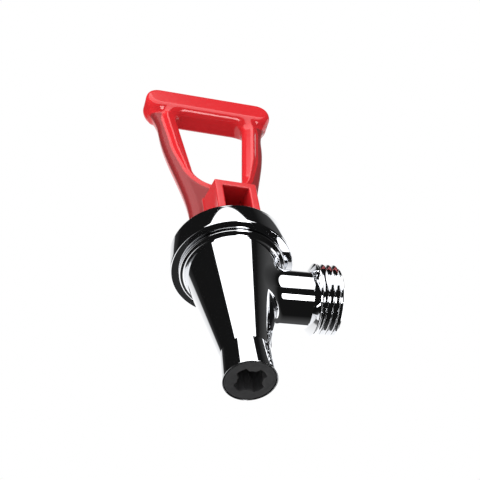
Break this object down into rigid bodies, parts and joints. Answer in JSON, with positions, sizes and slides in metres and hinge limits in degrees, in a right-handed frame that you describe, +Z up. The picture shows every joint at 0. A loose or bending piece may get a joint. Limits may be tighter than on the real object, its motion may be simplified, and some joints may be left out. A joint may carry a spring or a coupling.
{
  "type": "beverage dispenser spigot",
  "caption": "Self-closing chrome spigot with a tapered body, a threaded inlet shank, a ribbed outlet insert and a red loop handle that tilts and swivels.",
  "frame": {"origin": "centre of the inlet shank's end face", "axes": "+X along the shank, out of its end face; +Z up along the stem, from the outlet towards the handle"},
  "size_m": [0.0531, 0.0378, 0.1347],
  "materials": {
    "chrome": "polished plating",
    "black_plastic": "fine matte moulding",
    "red_plastic": "glossy moulding",
    "stainless_steel": "turned",
    "silicone": "satin translucent",
    "acetal": "satin"
  },
  "bodies": {
    "body": {"faucet_body": "chrome", "outlet_insert": "black_plastic", "bonnet": "chrome", "wear_washer": "acetal", "stem_bush": "acetal", "seat_cup": "silicone", "stem_spring": "stainless_steel"},
    "lifter": {"spring_washer": "stainless_steel"},
    "stem": {"stem": "stainless_steel"},
    "handle": {"handle": "red_plastic", "handle_pin": "stainless_steel"}
  },
  "joints": [
    {"name": "stem_lift", "type": "slide", "parent": "body", "child": "lifter", "axis": [0, 0, 1], "range_m": [0, 0.00403], "deforming": ["stem_spring", "seat_cup"]},
    {"name": "handle_swivel", "type": "hinge", "parent": "lifter", "child": "stem", "pos_m": [-0.0305, 0, 0.0293], "axis": [0, 0, 1], "continuous": true},
    {"name": "handle_tilt", "type": "hinge", "parent": "stem", "child": "handle", "pos_m": [-0.0305, 0, 0.0293], "axis": [0.9983, 0.0576, 0], "range_deg": [0, 22]}
  ],
  "couplings": [
    {"joint": "stem_lift", "follows": "handle_tilt", "m_per_rad": 0.0105}
  ]
}
